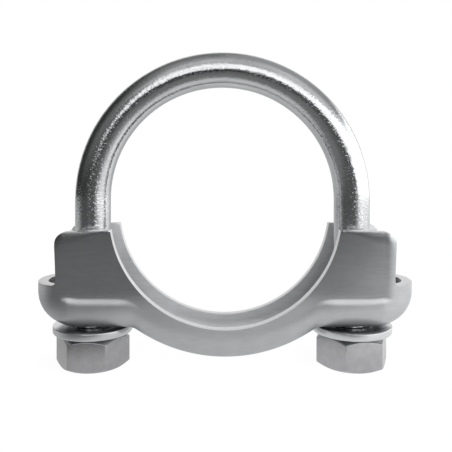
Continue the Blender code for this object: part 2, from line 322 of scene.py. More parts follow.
@dataclass(frozen=True)
class Studio:
    """White backdrop, pale floor and soft light from the front right and from above.

    Turns on the floor are in degrees, counted as azimuths are, and each pair is where a
    change of the floor's painted light and shade starts and ends. A reach is a distance from the
    middle of the floor.
    """

    dark_level: float = 0.045
    backdrop_strength: float = 1.0
    backdrop_reach: tuple[float, float] = (0.5, 0.95)
    panels: tuple[Panel, ...] = (
        Panel((26, 135), (-5, 27), (8, 10, 2, 5), 2.0),
        Panel((-20, 26), (4, 33), (5, 8, 2.5, 6), 1.45),
        Panel((-38, 70), (30, 66), (20, 30, 6, 14), 0.5),
        Panel((40, 165), (27, 62), (20, 20, 5, 14), 0.32),
        Panel((-75, -22), (8, 60), (20, 8, 10, 10), 0.13),
        Panel((-200, 200), (54, 91), (1, 1, 14, 1), 0.2),
        Panel((-90, 200), (66, 91), (20, 1, 12, 1), 0.15),
    )
    floor_radius: float = 0.5
    floor_sides: int = 96
    floor_colour: float = 0.8
    # Levels and reaches of the floor's painted light and shade, as reflections see it.
    floor_near: tuple[float, float] = (0.55, 0.78)
    floor_front: float = 0.12
    floor_far: float = 0.02
    floor_right: float = 0.95
    floor_back: float = 0.46
    near_reach: tuple[float, float] = (25 * MM, 60 * MM)
    far_reach: tuple[float, float] = (90 * MM, 230 * MM)
    front_left: tuple[float, float] = (-100, -60)
    front_right: tuple[float, float] = (15, 60)
    right_back: tuple[float, float] = (110, 160)
    shadow_share: float = 0.2
    shown_floor: float = 0.93
    shade_radius: float = 16 * MM
    shade_sides: int = 64
    shade_behind: float = 6 * MM
    shade_colour: float = 0.03
    shade_roughness: float = 0.9

    def build(self, view: View) -> None:
        """Make the world, the floor and the dark shade round the camera.

        Args:
            view: the camera of the photograph.
        """
        self.world()
        self.floor()
        self.shade(view)

    def world(self) -> None:
        """Light the clamp with soft panels, and show a white backdrop."""
        world = bpy.data.worlds.new("studio")
        bpy.context.scene.world = world
        world.use_nodes = True
        tree = world.node_tree
        tree.nodes.clear()
        sheet = NodeSheet(tree)
        direction = sheet.add("TexCoord").outputs["Generated"]
        axes = sheet.add("SeparateXYZ", {0: direction}).outputs
        elevation = sheet.math("ARCSINE", axes["Z"])
        azimuth = sheet.math("ARCTAN2", axes["X"], sheet.math("MULTIPLY", axes["Y"], -1.0))
        level: object = self.dark_level
        for panel in self.panels:
            level = sheet.math("ADD", level, self.panel_light(sheet, panel, azimuth, elevation))
        path = sheet.add("LightPath").outputs
        behind = sheet.step(axes["Y"], *self.backdrop_reach)
        seen = sheet.math("MAXIMUM", path["Is Camera Ray"], path["Is Transmission Ray"])
        seen = sheet.math("MAXIMUM", seen, sheet.math("MULTIPLY", path["Is Glossy Ray"], behind))
        studio = sheet.add("Background", {"Strength": level, "Color": grey(1.0)})
        backdrop = sheet.add("Background", {"Strength": self.backdrop_strength,
                                            "Color": grey(1.0)})
        both = sheet.add("MixShader", {0: seen, 1: studio.outputs[0], 2: backdrop.outputs[0]})
        sheet.add("OutputWorld", {0: both.outputs[0]})

    @staticmethod
    def panel_light(sheet: NodeSheet, panel: Panel, azimuth: bpy.types.NodeSocket,
                    elevation: bpy.types.NodeSocket) -> bpy.types.NodeSocket:
        """Return the light of one panel, with soft borders.

        Args:
            sheet: node sheet of the world.
            panel: the panel.
            azimuth: azimuth of the direction that is looked up, in radians.
            elevation: its elevation, in radians.

        Returns:
            The panel's strength inside its borders, and 0 outside.
        """
        light: object = panel.strength
        for angle, limits, soft in ((azimuth, panel.azimuth, panel.softness[:2]),
                                    (elevation, panel.elevation, panel.softness[2:])):
            low, high = (math.radians(limit) for limit in limits)
            low_soft, high_soft = (math.radians(width) for width in soft)
            rise = sheet.step(angle, low - low_soft, low + low_soft)
            fall = sheet.step(angle, high - high_soft, high + high_soft, 1.0, 0.0)
            light = sheet.math("MULTIPLY", sheet.math("MULTIPLY", light, rise), fall)
        return light

    def floor(self) -> None:
        """Lay a pale round floor, which keeps the clamp's shadow on the white and shows painted
        light and shade in reflections.
        """
        disc = bmesh.new()
        bmesh.ops.create_circle(disc, cap_ends=True, segments=self.floor_sides,
                                radius=self.floor_radius)
        material = bpy.data.materials.new("floor")
        material.use_nodes = True
        tree = material.node_tree
        tree.nodes.clear()
        sheet = NodeSheet(tree)
        place = sheet.add("TexCoord").outputs["Object"]
        path = sheet.add("LightPath").outputs
        # Reflections see the floor glow with painted light and shade; the camera sees it evenly
        # white.
        level = sheet.mix(path["Is Camera Ray"], self.painted_floor_light(sheet, place),
                          self.shown_floor)
        white = sheet.add("Emission", {"Strength": level})
        soft = sheet.add("BsdfDiffuse", {"Color": grey(self.shadow_share)})
        shown = sheet.add("AddShader", {0: white.outputs[0], 1: soft.outputs[0]})
        lit = sheet.add("BsdfDiffuse", {"Color": grey(self.floor_colour)})
        seen = sheet.math("MAXIMUM", path["Is Camera Ray"], path["Is Glossy Ray"])
        seen = sheet.math("MAXIMUM", seen, path["Is Transmission Ray"])
        both = sheet.add("MixShader", {0: seen, 1: lit.outputs[0], 2: shown.outputs[0]})
        sheet.add("OutputMaterial", {0: both.outputs[0]})
        floor = finished_piece("floor", disc, material)

    def painted_floor_light(self, sheet: NodeSheet, place: bpy.types.NodeSocket) -> bpy.types.NodeSocket:
        """Return the painted light and shade that the floor shows in the metal, by place.

        Args:
            sheet: node sheet of the floor's material.
            place: position on the floor.

        Returns:
            The brightness: painted shade towards the photographer, painted light to the sides and
                behind.
        """
        axes = sheet.add("SeparateXYZ", {0: place}).outputs
        away = sheet.add("VectorMath", {0: place}, operation="LENGTH").outputs["Value"]
        turn = sheet.math("ARCTAN2", axes["X"], sheet.math("MULTIPLY", axes["Y"], -1.0))
        left = sheet.step(turn, *map(math.radians, self.front_left))
        right = sheet.step(turn, *map(math.radians, self.front_right))
        back = sheet.step(turn, *map(math.radians, self.right_back))
        dim = sheet.step(away, *self.far_reach, self.floor_front, self.floor_far)
        level = sheet.mix(left, self.floor_back, dim)
        level = sheet.mix(right, level, self.floor_right)
        level = sheet.mix(back, level, self.floor_back)
        near = sheet.step(away, *self.near_reach, 1.0, 0.0)
        half = self.near_reach[1]
        pale = sheet.step(axes["X"], -half, half, *self.floor_near)
        return sheet.mix(near, level, pale)

    def shade(self, view: View) -> None:
        """Set a dark round shade behind the lens, which only reflections show.

        Args:
            view: the camera of the photograph.
        """
        place = Vector(view.place) + Vector((0, -self.shade_behind, 0))
        disc = bmesh.new()
        upright = Matrix.Translation(place) @ Matrix.Rotation(math.pi / 2, 4, "X")
        bmesh.ops.create_circle(disc, cap_ends=True, segments=self.shade_sides,
                                radius=self.shade_radius, matrix=upright)
        material = bpy.data.materials.new("lens_shade")
        material.use_nodes = True
        shader = material.node_tree.nodes["Principled BSDF"]
        shader.inputs["Base Color"].default_value = grey(self.shade_colour)
        shader.inputs["Roughness"].default_value = self.shade_roughness
        shade = finished_piece("lens_shade", disc, material)
        shade.visible_camera = False
        shade.visible_shadow = False


class ZincSurface:
    """Shader node group of zinc plate: mottle, streaks, uneven gloss and fine grains."""

    INPUTS = (("Place", "NodeSocketVector"), ("Colour", "NodeSocketColor"),
              ("Roughness", "NodeSocketFloat"), ("Mottle", "NodeSocketFloat"),
              ("Mottle Scale", "NodeSocketFloat"), ("Streaks", "NodeSocketFloat"),
              ("Streak Scale", "NodeSocketVector"), ("Streak Depth", "NodeSocketFloat"),
              ("Grains", "NodeSocketFloat"), ("Grain Scale", "NodeSocketFloat"))
    OUTPUTS = (("Colour", "NodeSocketColor"), ("Roughness", "NodeSocketFloat"),
               ("Normal", "NodeSocketVector"))
    MOTTLE_DETAIL = 4.0
    STREAK_DETAIL = 3.0
    STREAK_GLOSS = 2.0
    GRAIN_DETAIL = 2.0
    GRAIN_EDGE = (0.48, 0.72)

    def __init__(self) -> None:
        """Build the group once, for every zinc finish."""
        self.tree = bpy.data.node_groups.new("zinc_surface", "ShaderNodeTree")
        for name, kind in self.INPUTS:
            self.tree.interface.new_socket(name, in_out="INPUT", socket_type=kind)
        for name, kind in self.OUTPUTS:
            self.tree.interface.new_socket(name, in_out="OUTPUT", socket_type=kind)
        sheet = NodeSheet(self.tree)
        given = sheet.add_plain("NodeGroupInput").outputs
        cloud = self.about_zero(sheet, sheet.noise(given["Place"], given["Mottle Scale"],
                                                   self.MOTTLE_DETAIL))
        spread = sheet.add("VectorMath", {0: given["Place"], 1: given["Streak Scale"]},
                           operation="MULTIPLY").outputs[0]
        streak = self.about_zero(sheet, sheet.noise(spread, 1.0, self.STREAK_DETAIL))
        patch = sheet.math("MULTIPLY_ADD", cloud, given["Mottle"], 1.0)
        shade = sheet.math("MULTIPLY_ADD", streak, given["Streaks"], patch)
        colour = sheet.add("VectorMath", {0: given["Colour"], "Scale": shade},
                           operation="SCALE").outputs[0]
        polish = sheet.math("MULTIPLY", given["Streaks"], -self.STREAK_GLOSS)
        gloss = sheet.math("MULTIPLY_ADD", streak, polish, 1.0)
        rough = sheet.math("MULTIPLY", given["Roughness"], gloss)
        dots = sheet.noise(given["Place"], given["Grain Scale"], self.GRAIN_DETAIL)
        grain = sheet.step(dots, *self.GRAIN_EDGE)
        height = sheet.math("MULTIPLY_ADD", grain, given["Grains"],
                            sheet.math("MULTIPLY", streak, given["Streak Depth"]))
        bump = sheet.add("Bump", {"Strength": 1.0, "Distance": 1.0, "Height": height}).outputs[0]
        result = sheet.add_plain("NodeGroupOutput").inputs
        for name, value in (("Colour", colour), ("Roughness", rough), ("Normal", bump)):
            self.tree.links.new(value, result[name])

    @staticmethod
    def about_zero(sheet: NodeSheet, value: bpy.types.NodeSocket) -> bpy.types.NodeSocket:
        """Turn a noise of mostly 0.25 to 0.75 into one of mostly -1 to 1."""
        return sheet.math("MULTIPLY_ADD", value, 4.0, -2.0)


@dataclass(frozen=True)
class ZincFinish:
    """One zinc-plated finish, with the marks of how its piece was formed.

    Sizes are in metres. A finish follows a named attribute of its piece where it has one,
    and Object coordinates otherwise. Below a height it may be rougher, where the sheet was
    drawn over the press tool.
    """

    name: str
    colour: tuple[float, float, float]
    roughness: float
    mottle: float = 0.03
    mottle_size: float = 2 * MM
    streaks: float = 0.0
    streak_size: tuple[float, float, float] = (1 * MM, 1 * MM, 1 * MM)
    streak_depth: float = 0.0
    grains: float = 0.002 * MM
    grain_size: float = 0.3 * MM
    follows: str = ""
    drawn_roughness: float = 0.0
    drawn_below: float = 0.0
    drawn_fade: float = 4 * MM

    def build(self, surface: ZincSurface) -> bpy.types.Material:
        """Make the material.

        Args:
            surface: the shared node group.

        Returns:
            A metal with the group's colour, roughness and normal.
        """
        material = bpy.data.materials.new(self.name)
        material.use_nodes = True
        sheet = NodeSheet(material.node_tree)
        if self.follows:
            place = sheet.add("Attribute", attribute_name=self.follows).outputs["Vector"]
        else:
            place = sheet.add("TexCoord").outputs["Object"]
        zinc = sheet.add("Group", node_tree=surface.tree)
        material.node_tree.links.new(place, zinc.inputs["Place"])
        values = {"Colour": self.colour + (1.0,), "Roughness": self.roughness,
                  "Mottle": self.mottle, "Mottle Scale": 1.0 / self.mottle_size,
                  "Streaks": self.streaks,
                  "Streak Scale": tuple(1.0 / size for size in self.streak_size),
                  "Streak Depth": self.streak_depth, "Grains": self.grains,
                  "Grain Scale": 1.0 / self.grain_size}
        for socket, value in values.items():
            zinc.inputs[socket].default_value = value
        rough = zinc.outputs["Roughness"]
        if self.drawn_roughness:
            height = sheet.add("SeparateXYZ", {0: place}).outputs["Z"]
            drawn = sheet.step(height, self.drawn_below, self.drawn_below + self.drawn_fade,
                               self.drawn_roughness, 0.0)
            rough = sheet.math("ADD", rough, drawn)
        shader = material.node_tree.nodes["Principled BSDF"]
        shader.inputs["Metallic"].default_value = 1.0
        for value, socket in ((zinc.outputs["Colour"], "Base Color"), (rough, "Roughness"),
                              (zinc.outputs["Normal"], "Normal")):
            material.node_tree.links.new(value, shader.inputs[socket])
        return material


ROD_ZINC = ZincFinish(
    "rod_zinc", colour=(0.62, 0.63, 0.64), roughness=0.15, streaks=0.12,
    streak_size=(9 * MM, 0.5 * MM, 0.5 * MM), streak_depth=0.004 * MM,
    grains=0.014 * MM, grain_size=0.45 * MM, follows="along_rod")
SHEET_ZINC = ZincFinish(
    "sheet_zinc", colour=(0.52, 0.53, 0.54), roughness=0.18, streaks=0.04,
    streak_size=(3 * MM, 3 * MM, 0.5 * MM), streak_depth=0.001 * MM,
    drawn_roughness=0.24, drawn_below=13 * MM)
# Inner face of the sheet: its lighter colour is painted light, falling into the saddle; its dull
# roughness is real.
INNER_ZINC_PAINTED_LIGHT = ZincFinish(
    "inner_zinc_painted_light", colour=(0.8, 0.81, 0.82), roughness=0.55, streaks=0.05,
    streak_size=(6 * MM, 6 * MM, 0.5 * MM), streak_depth=0.002 * MM)
# Sheared edges: rough in truth, and their lighter colour is a painted highlight of the light from
# above.
CUT_ZINC_PAINTED_HIGHLIGHT = ZincFinish(
    "cut_zinc_painted_highlight", colour=(0.85, 0.85, 0.86), roughness=0.45, mottle=0.05,
    mottle_size=0.6 * MM, grains=0.008 * MM, grain_size=0.2 * MM)
WASHER_ZINC = ZincFinish(
    "washer_zinc", colour=(0.64, 0.65, 0.66), roughness=0.22, mottle_size=1 * MM,
    grains=0.004 * MM)
NUT_ZINC = ZincFinish(
    "nut_zinc", colour=(0.44, 0.44, 0.45), roughness=0.24, mottle=0.08,
    mottle_size=1.5 * MM, grains=0.008 * MM, grain_size=0.5 * MM)


@dataclass
class UBolt:
    """Round rod bent to a half circle, with a rolled thread on each leg."""

    left_x: float
    right_x: float
    arch_z: float
    thread: ScrewThread
    rod_radius: float = 3.6 * MM
    tip_z: float = 0.5 * MM
    tip_chamfer: float = 0.7 * MM
    thread_length: float = 20.0 * MM
    runout: float = 1.6 * MM
    sides: int = 64
    arch_steps: int = 112
    shank_steps: int = 10
    sharp_angle: float = math.radians(35)

    @property
    def middle_x(self) -> float:
        """Place midway between the legs."""
        return (self.left_x + self.right_x) / 2

    @property
    def bend_radius(self) -> float:
        """Radius of the arch, to the rod's own middle."""
        return (self.right_x - self.left_x) / 2

    def build(self, finish: bpy.types.Material) -> bpy.types.Object:
        """Bend the rod, draw both legs and roll their threads.

        Args:
            finish: the rod's material.

        Returns:
            The U-bolt.
        """
        rod = bmesh.new()
        ring = bmesh.ops.create_circle(
            rod, cap_ends=False, segments=self.sides, radius=self.rod_radius,
            matrix=Matrix.Translation((self.right_x, 0, self.arch_z)))["verts"]
        first = list(rod.edges)
        grown = bmesh.ops.spin(rod, geom=ring + first, cent=(self.middle_x, 0, self.arch_z),
                               axis=(0, -1, 0), angle=math.pi, steps=self.arch_steps)
        last = [item for item in grown["geom_last"] if isinstance(item, bmesh.types.BMEdge)]
        for edges, leg_x in ((first, self.right_x), (last, self.left_x)):
            self.draw_leg(rod, edges, leg_x)
        bmesh.ops.recalc_face_normals(rod, faces=rod.faces)
        self.mark_length(rod)
        return finished_piece("bent_rod", rod, finish, self.sharp_angle)

    def mark_length(self, rod: bmesh.types.BMesh) -> None:
        """Give each corner its place along the rod and in its section, for the drawing marks.

        Args:
            rod: the whole rod.
        """
        along = rod.verts.layers.float_vector.new("along_rod")
        for vert in rod.verts:
            side, height = vert.co.x - self.middle_x, vert.co.z - self.arch_z
            rise, down_leg = max(height, 0.0), min(height, 0.0)
            length = self.bend_radius * math.atan2(rise, side)
            length += down_leg if side > 0 else -down_leg
            vert[along] = (length, math.hypot(side, rise) - self.bend_radius, vert.co.y)

    def heights(self) -> list[float]:
        """Work out where the rings of a leg are.

        Returns:
            Their heights, from the shank down to the tip.
        """
        top = self.tip_z + self.thread_length + self.runout
        shank = [self.arch_z + (top - self.arch_z) * i / self.shank_steps
                 for i in range(1, self.shank_steps + 1)]
        step = self.thread.pitch / self.thread.rings_per_turn
        count = round((top - self.tip_z) / step)
        return shank + [top - step * i for i in range(1, count)] + [self.tip_z]

    def radius(self, height: float, angle: float) -> float:
        """Return the leg's radius: shank, runout, thread or chamfered tip.

        Args:
            height: height of the point.
            angle: its angle round the leg.

        Returns:
            The radius.
        """
        thread_top = self.tip_z + self.thread_length
        fade = soft_step((height - thread_top) / self.runout)
        radius = self.thread.radius(height, angle) * (1 - fade) + self.rod_radius * fade
        tip = self.thread.crest_radius - self.tip_chamfer + height - self.tip_z
        return min(radius, tip)

    def draw_leg(self, rod: bmesh.types.BMesh, edges: list[bmesh.types.BMEdge],
                 leg_x: float) -> None:
        """Draw one end of the arch down to its tip, ring by ring.

        Args:
            rod: the bent rod.
            edges: its open end, over the leg.
            leg_x: where the leg stands.
        """
        for height in self.heights():
            grown = bmesh.ops.extrude_edge_only(rod, edges=edges)["geom"]
            edges = [item for item in grown if isinstance(item, bmesh.types.BMEdge)]
            for vert in (item for item in grown if isinstance(item, bmesh.types.BMVert)):
                angle = math.atan2(vert.co.y, vert.co.x - leg_x)
                radius = self.radius(height, angle)
                vert.co = (leg_x + radius * math.cos(angle), radius * math.sin(angle), height)
        bmesh.ops.holes_fill(rod, edges=edges, sides=self.sides)


@dataclass
class Washer:
    """Plain punched washer: one face with a drawn edge, the other nearly sharp."""

    centre_x: float
    base_z: float
    outer_radius: float = 8.0 * MM
    hole_radius: float = 4.3 * MM
    thickness: float = 1.5 * MM
    drawn_radius: float = 0.38 * MM
    burr_radius: float = 0.14 * MM
    steps: int = 96
    round_steps: int = 4

    def build(self, name: str, finish: bpy.types.Material) -> bpy.types.Object:
        """Turn the washer's rounded section round its leg.

        Args:
            name: the piece's name.
            finish: its material.

        Returns:
            The washer.
        """
        inner, outer, top = self.hole_radius, self.outer_radius, self.thickness
        middle = Vector(((inner + outer) / 2, 0))
        corners = [middle, Vector((outer, 0)), Vector((outer, top)), Vector((inner, top)),
                   Vector((inner, 0)), middle]
        radii = (self.drawn_radius, self.burr_radius, self.burr_radius, self.drawn_radius)
        line = rounded_line(corners, radii, self.round_steps)[:-1]
        ring = bmesh.new()
        verts = [ring.verts.new((self.centre_x + p.x, 0, self.base_z + p.y)) for p in line]
        edges = [ring.edges.new((verts[i - 1], verts[i])) for i in range(len(verts))]
        bmesh.ops.spin(ring, geom=verts + edges, cent=(self.centre_x, 0, 0), axis=(0, 0, 1),
                       angle=FULL_TURN, steps=self.steps, use_merge=True)
        bmesh.ops.remove_doubles(ring, verts=ring.verts, dist=WELD)
        bmesh.ops.recalc_face_normals(ring, faces=ring.faces)
        return finished_piece(name, ring, finish)


@dataclass
class HexNut:
    """Hexagon nut, chamfered at both faces, with its thread in phase with the leg's."""

    centre_x: float
    turn: float
    thread: ScrewThread
    across_flats: float = 13.0 * MM
    height: float = 6.4 * MM
    face_radius: float = 6.0 * MM
    chamfer_slope: float = math.radians(28)
    countersink: float = 0.5 * MM
    corner_radius: float = 0.35 * MM
    edge_radius: float = 0.13 * MM
    thread_play: float = 0.08 * MM
    flat_steps: int = 10
    corner_steps: int = 5
    edge_steps: int = 3

    @property
    def apothem(self) -> float:
        """Distance from the nut's axis to a flat."""
        return self.across_flats / 2

    @property
    def half_flat(self) -> float:
        """Half the width of a flat, up to its rounded corners."""
        return (self.apothem - self.corner_radius) * math.tan(math.pi / 6)

    def build(self, name: str, finish: bpy.types.Material) -> bpy.types.Object:
        """Wrap a net round the outside and down the threaded bore.

        Args:
            name: the piece's name.
            finish: its material.

        Returns:
            The nut.
        """
        angles = self.column_angles()
        outside = [self.outside(angle) for angle in angles]
        bore = self.bore_heights()
        rows = len(outside[0]) + len(bore)

        def place(row: int, column: int) -> Vector:
            """Place a corner of the net, first on the outside and then in the bore.

            Args:
                row: its row, along the section.
                column: its column, round the nut.

            Returns:
                The point.
            """
            column %= len(angles)
            row %= rows
            angle = angles[column]
            if row < len(outside[column]):
                radius, height = outside[column][row]
            else:
                height = bore[row - len(outside[column])]
                radius = self.bore_radius(height, angle)
            return Vector((self.centre_x + radius * math.cos(angle),
                           radius * math.sin(angle), height))

        nut = shaped_net(rows, len(angles), place)
        bmesh.ops.recalc_face_normals(nut, faces=nut.faces)
        return finished_piece(name, nut, finish)

    def column_angles(self) -> list[float]:
        """Spread the net's columns: even on the flats, closer at the corners.

        Returns:
            Their angles round the nut.
        """
        edge = math.atan2(self.half_flat, self.apothem)
        gap = math.pi / 3 - 2 * edge
        angles = []
        for flat in range(6):
            middle = self.turn + (flat + 0.5) * math.pi / 3
            for i in range(self.flat_steps):
                angles.append(middle - edge + 2 * edge * i / self.flat_steps)
            for i in range(self.corner_steps):
                angles.append(middle + edge + gap * i / self.corner_steps)
        return angles

    def hexagon_radius(self, angle: float) -> float:
        """Return how far the rounded hexagon reaches.

        Args:
            angle: the direction from the nut's axis.

        Returns:
            The radius of a flat or a rounded corner there.
        """
        off_flat = (angle - self.turn) % (math.pi / 3) - math.pi / 6
        if abs(math.tan(off_flat)) * self.apothem <= self.half_flat:
            return self.apothem / math.cos(off_flat)
        off_corner = math.pi / 6 - abs(off_flat)
        centre = (self.apothem - self.corner_radius) / math.cos(math.pi / 6)
        across = centre * math.sin(off_corner)
        return centre * math.cos(off_corner) + math.sqrt(self.corner_radius ** 2 - across ** 2)

    def outside(self, angle: float) -> list[Vector]:
        """Draw the outside's section at one column.

        Args:
            angle: the column's angle.

        Returns:
            Points of (radius, height), from the lower edge of the bore to the upper one.
        """
        rim = self.hexagon_radius(angle)
        drop = (rim - self.face_radius) * math.tan(self.chamfer_slope)
        bore = self.thread.crest_radius + self.thread_play
        lower = [Vector((bore, self.countersink)), Vector((bore + self.countersink, 0)),
                 Vector((self.face_radius, 0)), Vector((rim, drop)),
                 Vector((rim, self.height / 2))]
        half = rounded_line(lower, (self.edge_radius,) * 3, self.edge_steps)
        return half + [Vector((p.x, self.height - p.y)) for p in reversed(half[:-1])]

    def bore_heights(self) -> list[float]:
        """Work out where the rings of the bore are.

        Returns:
            Their heights, from the upper countersink down to the lower one.
        """
        length = self.height - 2 * self.countersink
        count = round(length / self.thread.pitch * self.thread.rings_per_turn)
        return [self.height - self.countersink - length * i / count for i in range(1, count)]

    def bore_radius(self, height: float, angle: float) -> float:
        """Return the threaded bore's radius, opened towards both countersinks.

        Args:
            height: height of the point.
            angle: its angle round the leg.

        Returns:
            The radius.
        """
        thread = self.thread.radius(height, angle) + self.thread_play
        depth = min(height, self.height - height) - self.countersink
        mouth = self.thread.crest_radius + self.thread_play - depth
        return max(thread, mouth)


class Side(Enum):
    """The two legs, with the turn of each one's nut on its thread."""

    LEFT = ("left", math.radians(0))
    RIGHT = ("right", math.radians(9))

    @property
    def label(self) -> str:
        """Name of the side."""
        return self.value[0]

    @property
    def nut_turn(self) -> float:
        """How far the nut's first corner is turned from +X."""
        return self.value[1]

    def leg_x(self) -> float:
        """Return where the leg stands, from the box of its washer."""
        low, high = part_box(self.label + "_washer")
        return (low.x + high.x) / 2


@dataclass
class Saddle:
    """Pan pressed from one sheet, with a belly, an elliptic bend, a crease, tabs and lips.

    A net is laid over the outer face of one quarter. Its rows rise from the floor over the
    bend and the crease to the cut edge, and its columns run from the end of the saddle to
    the middle.
    """

    base_z: float
    half_length: float
    sheet: float = 2.0 * MM
    wall_spread: float = 13.6 * MM
    wall_lean: float = math.radians(1.5)
    end_flat: float = 1.2 * MM
    bend_reach: float = 3.6 * MM
    bend_rise: float = 4.7 * MM
    end_bend: float = 7.0 * MM
    end_ease: float = 4.0 * MM
    crease_turn: float = math.radians(20)
    crest_radius: float = 2.8 * MM
    crease_radius: float = 2.6 * MM
    crease_full_from: float = 21.5 * MM
    crease_gone_at: float = 13.0 * MM
    crease_full_before_end: float = 7.5 * MM
    crease_gone_before_end: float = 3.8 * MM
    belly_radius: float = 31.0 * MM
    belly_ease: float = 3.7 * MM
    flat_from: float = 19.46 * MM
    seat_radius: float = 22.45 * MM
    middle_wall: float = 6.1 * MM
    tab_rise: float = 19.5 * MM
    tab_half_width: float = 33.2 * MM
    tab_slope: float = math.radians(2)
    tab_lean: float = math.radians(2)
    tab_corner: float = 2.4 * MM
    lip_rise: float = 8.7 * MM
    lip_fillet: float = 1.0 * MM
    fan_from: float = 30.4 * MM
    edge_radius: float = 0.25 * MM
    edge_segments: int = 3
    edge_angle: float = math.radians(50)
    sharp_angle: float = math.radians(60)
    hole_radius: float = 4.85 * MM
    hole_sides: int = 64
    straight_share: float = 0.6
    floor_steps: int = 2
    bend_steps: int = 14
    crease_steps: int = 8
    wall_steps: int = 5
    grading: float = 1.0
    grading_reach: float = 8.0 * MM
    end_steps: int = 2
    corner_steps: int = 12
    tab_arc_steps: int = 14
    round_steps: int = 7
    side_steps: int = 5
    brow_steps: int = 4
    top_steps: int = 8
    seat_steps: int = 44

    def __post_init__(self) -> None:
        """Work out the heights, the cut edge and the net's columns."""
        self.set_heights()
        self.edge = self.trimmed_edge()
        self.set_columns()

    def set_heights(self) -> None:
        """Work out the heights of belly, pipe seat, tabs and lips."""
        self.joint_angle = math.asin(self.flat_from / (self.belly_radius + self.belly_ease))
        drop = (self.belly_radius + self.belly_ease) * (1 - math.cos(self.joint_angle))
        self.belly_z = self.base_z - drop
        self.seat_z = self.belly_z + self.middle_wall + self.seat_radius
        self.tab_z = self.base_z + self.tab_rise - self.sheet * math.sin(self.wall_lean)
        self.lip_z = self.base_z + self.lip_rise

    def set_columns(self) -> None:
        """Share the net's columns out over the end wall, its corner and the long wall."""
        self.top_level = self.bend_steps + self.crease_steps
        self.plan_corner = (self.wall_spread - self.end_flat) / 2
        straight = self.half_length - self.plan_corner
        self.lip_end = self.end_steps + self.corner_steps
        self.arc_end = self.lip_end + self.tab_arc_steps
        lip_angle = math.acos((self.edge[0].x - straight) / self.plan_corner)
        rest = math.pi / 2 - lip_angle
        self.arc_angles = [lip_angle * i / self.corner_steps for i in range(self.corner_steps)]
        self.arc_angles += [lip_angle + rest * i / self.tab_arc_steps
                            for i in range(self.tab_arc_steps + 1)]
        fan = 2 * self.round_steps + self.side_steps + self.brow_steps - self.tab_arc_steps
        places = [straight + (self.fan_from - straight) * i / fan for i in range(1, fan + 1)]
        places += [point.x for point in self.edge[self.tab_arc_steps + fan + 1:]]
        self.long_shares = [x / straight for x in places]

    def build(self, finishes: Sequence[bpy.types.Material],
              holes: Sequence[float]) -> bpy.types.Object:
        """Press the skin, give it the sheet's thickness, drill it and break its edges.

        Args:
            finishes: materials of the sheet's outer face, inner face (painted light) and sheared
                edges (painted highlight).
            holes: where the two holes are, along X.

        Returns:
            The saddle.
        """
        saddle = finished_piece("pressed_saddle", self.pressed_skin(), finishes[0])
        for other in finishes[1:]:
            saddle.data.materials.append(other)
        self.thicken(saddle)
        drills = [self.drill(hole_x) for hole_x in holes]
        for drill in drills:
            hole = saddle.modifiers.new("hole", "BOOLEAN")
            hole.operation = "DIFFERENCE"
            hole.object = drill
        self.break_edges(saddle)
        apply_modifiers(saddle)
        for drill in drills:
            bpy.data.objects.remove(drill, do_unlink=True)
        saddle.data.shade_smooth()
        saddle.data.set_sharp_from_angle(angle=self.sharp_angle)
        return saddle

    def pressed_skin(self) -> bmesh.types.BMesh:
        """Mirror the quarter to the whole outer face of the sheet.

        Returns:
            The open skin, with its faces turned outwards.
        """
        skin = self.quarter()
        for axis in ("Y", "X"):
            bmesh.ops.mirror(skin, geom=skin.verts[:] + skin.edges[:] + skin.faces[:],
                             matrix=Matrix.Identity(4), merge_dist=WELD, axis=axis)
        bmesh.ops.remove_doubles(skin, verts=skin.verts, dist=WELD)
        bmesh.ops.recalc_face_normals(skin, faces=skin.faces)
        lowest = min(skin.faces, key=lambda face: face.calc_center_median().z)
        if lowest.normal.z > 0:
            bmesh.ops.reverse_faces(skin, faces=skin.faces)
        return skin

    def thicken(self, saddle: bpy.types.Object) -> None:
        """Give the skin the sheet's thickness, inwards.

        Args:
            saddle: the skin, with its three materials in the order of the finishes.
        """
        wall = saddle.modifiers.new("sheet", "SOLIDIFY")
        wall.material_offset = 1
        wall.material_offset_rim = 2
        wall.thickness = self.sheet
        wall.offset = -1.0
        wall.use_even_offset = True

    def break_edges(self, saddle: bpy.types.Object) -> None:
        """Break the sheared edges, so that light runs over them.

        The narrow faces beside the pipe's seat hold the width well under the edge radius.

        Args:
            saddle: the drilled saddle.
        """
        edge = saddle.modifiers.new("edge", "BEVEL")
        edge.width = self.edge_radius
        edge.segments = self.edge_segments
        edge.limit_method = "ANGLE"
        edge.angle_limit = self.edge_angle

    def drill(self, hole_x: float) -> bpy.types.Object:
        """Make the cutter for one leg's hole in the floor.

        Args:
            hole_x: where the hole is, along X.

        Returns:
            A cylinder through the floor.
        """
        bit = bmesh.new()
        bmesh.ops.create_cone(bit, cap_ends=True, segments=self.hole_sides,
                              radius1=self.hole_radius, radius2=self.hole_radius,
                              depth=4 * self.sheet,
                              matrix=Matrix.Translation((hole_x, 0, self.base_z)))
        mesh = bpy.data.meshes.new("drill")
        bit.to_mesh(mesh)
        bit.free()
        cutter = bpy.data.objects.new("drill", mesh)
        bpy.context.scene.collection.objects.link(cutter)
        return cutter

    def underside(self, x: float) -> float:
        """Return the height of the underside: a round belly that eases into flats.

        Args:
            x: distance from the middle of the saddle.

        Returns:
            The height.
        """
        run = abs(x)
        if run >= self.flat_from:
            return self.base_z
        if run <= self.belly_radius * math.sin(self.joint_angle):
            return self.belly_z + self.belly_radius - math.sqrt(self.belly_radius ** 2 - run ** 2)
        back = self.flat_from - run
        return self.base_z - self.belly_ease + math.sqrt(self.belly_ease ** 2 - back ** 2)

    def crease(self, x: float) -> float:
        """Return how far the skin leans in over the crest of the bend.

        Args:
            x: distance from the middle of the saddle.

        Returns:
            The lean, in radians, which fades towards the middle and the end.
        """
        middle = (abs(x) - self.crease_gone_at) / (self.crease_full_from - self.crease_gone_at)
        room = self.half_length - abs(x) - self.crease_gone_before_end
        end = room / (self.crease_full_before_end - self.crease_gone_before_end)
        return self.crease_turn * soft_step(middle) * soft_step(end)

